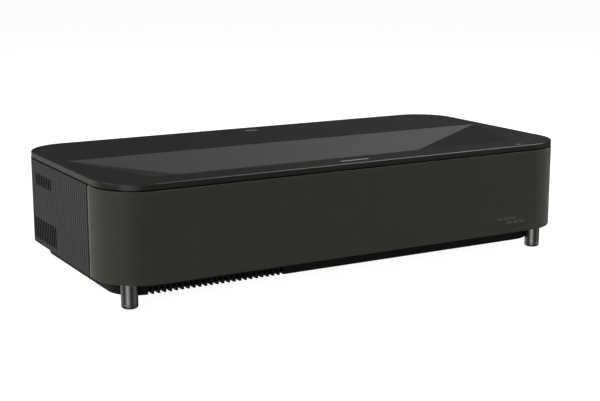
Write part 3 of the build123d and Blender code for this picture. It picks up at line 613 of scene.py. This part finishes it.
def frontFoot(side):
    shape = footShape
    low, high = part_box("front_foot_" + side)
    x = (low.x + high.x) / 2
    y = (low.y + high.y) / 2
    radius = (high.x - low.x) / 2
    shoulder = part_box("base_plate")[0].z - shape["underPlate"]
    bevel = shape["bevel"]
    foot = low.z + shape["padDrop"]
    ring = shape["ring"]
    ringZ = foot + bevel + shape["ringAt"]
    stud = shape["studRadius"]
    bulgeIn, bulgeUp = shape["bevelBulge"]
    profile = [(0, foot), (radius - bevel, foot),
               (radius - bulgeIn * bevel, foot + bulgeUp * bevel),
               (radius, foot + bevel), (radius, ringZ), (radius - ring, ringZ + ring),
               (radius - ring, ringZ + 3 * ring), (radius, ringZ + 4 * ring),
               (radius, shoulder - shape["topEdge"]), (radius - shape["topEdge"], shoulder),
               (stud, shoulder)]
    crests = int((high.z - shoulder - shape["studSpare"]) / shape["thread"])
    for crest in range(crests):
        z = shoulder + shape["studStart"] + crest * shape["thread"]
        profile += [(stud - shape["threadDepth"], z), (stud, z + shape["thread"] / 2)]
    profile += [(stud - shape["studTip"], high.z), (0, high.z)]
    body = "foot_" + side
    piece = turnedPiece(profile, x, y, "foot_" + side, footMetal, body)
    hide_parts("front_foot_" + side)

    padRadius = radius - shape["padInset"]
    padTop = foot + shape["padIn"]
    edgeIn, edgeUp = shape["padEdge"]
    pad = [(0, low.z), (padRadius - edgeIn, low.z), (padRadius, low.z + edgeUp), (padRadius, padTop),
           (0, padTop)]
    turnedPiece(pad, x, y, "foot_pad_" + side, rubber, body)


for side in ("left", "right"):
    frontFoot(side)
print("feet made")


# ---- room, lights and camera

paleFloor = {"reach": 60, "colour": (0.35, 0.35, 0.35), "glow": 0.95}


def addFloor():
    # glows a little, as a light table does, and doesn't light the object from below
    finish = Finish("pale floor", paleFloor["colour"], 0.9, Specular_IOR_Level=0.0,
                    Emission_Color=(1, 1, 1), Emission_Strength=paleFloor["glow"])
    bm = bmesh.new()
    bmesh.ops.create_grid(bm, x_segments=1, y_segments=1, size=paleFloor["reach"])
    floor = makeObject(bm, "floor", finish)
    floor.visible_diffuse = False
    floor.visible_glossy = False
    floor.visible_shadow = False


# the lights that the gloss parts mirror have gloss on; the others only fill
studio = {
    "overhead": {"place": (1.35, -0.3, 2.2), "aim": (0, 0, 0.1),
                 "size": (1.8, 1.2), "watts": 24, "gloss": True},
    "rightEdge": {"place": (1.75, -0.3, 1.8), "aim": (0.2, 0, 0.1),
                  "size": (0.5, 1.0), "watts": 8, "gloss": True},
    "left": {"place": (-1.9, 0.2, 1.5), "aim": (0, 0, 0.1),
             "size": (1.4, 1.2), "watts": 22, "gloss": True},
    "leftGraze": {"place": (-1.6, -0.7, 0.45), "aim": (-0.3, -0.1, 0.1),
                  "size": (0.6, 0.9), "watts": 20, "gloss": False},
    "right": {"place": (1.8, -0.9, 0.55), "aim": (0.3, -0.1, 0.1),
              "size": (0.7, 0.9), "watts": 18, "gloss": False},
    "front": {"place": (-0.9, -3.0, 1.3), "aim": (0, 0, 0.1),
              "size": (1.6, 1.2), "watts": 8, "gloss": False},
    "rear": {"place": (0.6, 2.6, 0.9), "aim": (0, 0, 0.1),
             "size": (1.8, 0.8), "watts": 30, "gloss": False},
    "rearStrip": {"place": (-0.9, 2.7, 1.7), "aim": (0, 0, 0.1),
                  "size": (1.2, 0.3), "watts": 3, "gloss": True},
}


def addLight(name, values):
    light = bpy.data.lights.new(name, "AREA")
    light.shape = "RECTANGLE"
    light.size, light.size_y = values["size"]
    light.energy = values["watts"]
    lamp = bpy.data.objects.new(name, light)
    lamp.location = values["place"]
    lamp.rotation_euler = (Vector(values["aim"]) - lamp.location).to_track_quat("-Z", "Y").to_euler()
    lamp.visible_glossy = values["gloss"]
    bpy.context.scene.collection.objects.link(lamp)


view = {"place": (-0.856, -1.496, 0.4392), "turn": -29.87, "tilt": -11.94, "lens": 74.5}


def addCamera():
    data = bpy.data.cameras.new("camera")
    data.lens = view["lens"]
    data.sensor_width = 36
    camera = bpy.data.objects.new("camera", data)
    camera.location = view["place"]
    camera.rotation_euler = (math.radians(90 + view["tilt"]), 0, math.radians(view["turn"]))
    bpy.context.scene.collection.objects.link(camera)
    bpy.context.scene.camera = camera


room = {"level": 0.041,
        "lowLeft": {"glow": 0.48, "toward": (-0.487, 0.848, -0.207), "edge": 0.84},
        "lowFront": {"glow": 1.1, "toward": (-0.70, -0.68, -0.22), "edge": 0.89},
        "lowRight": {"glow": 0.20, "toward": (0.80, -0.56, -0.207), "edge": 0.85},
        "farRight": {"glow": 0.04, "toward": (0.66, 0.735, 0.155), "edge": 0.95}}


def addWorld():
    # a dim room, paler low down on three sides as a pale floor would be; the camera sees it white
    world = bpy.data.worlds.new("studio")
    world.use_nodes = True
    sky = Nodes(world.node_tree)
    level = room["level"]
    for side in (room["lowLeft"], room["lowFront"], room["lowRight"], room["farRight"]):
        vectors = {0: sky.place(), 1: side["toward"]}
        turn = sky.add("ShaderNodeVectorMath", {"operation": "DOT_PRODUCT"}, vectors, 1)
        level = sky.band(turn, side["edge"], 1.0) * side["glow"] + level
    seen = sky.add("ShaderNodeLightPath", out="Is Camera Ray")
    backdrop = sky.tree.nodes["Background"]
    sky.feed(backdrop.inputs["Strength"], seen + (1 - seen) * level)
    backdrop.inputs["Color"].default_value = (1, 1, 1, 1)
    bpy.context.scene.world = world


addFloor()
for lightName, lightValues in studio.items():
    addLight(lightName, lightValues)
addCamera()
addWorld()
bpy.context.scene.view_settings.view_transform = "Standard"
print("studio set")
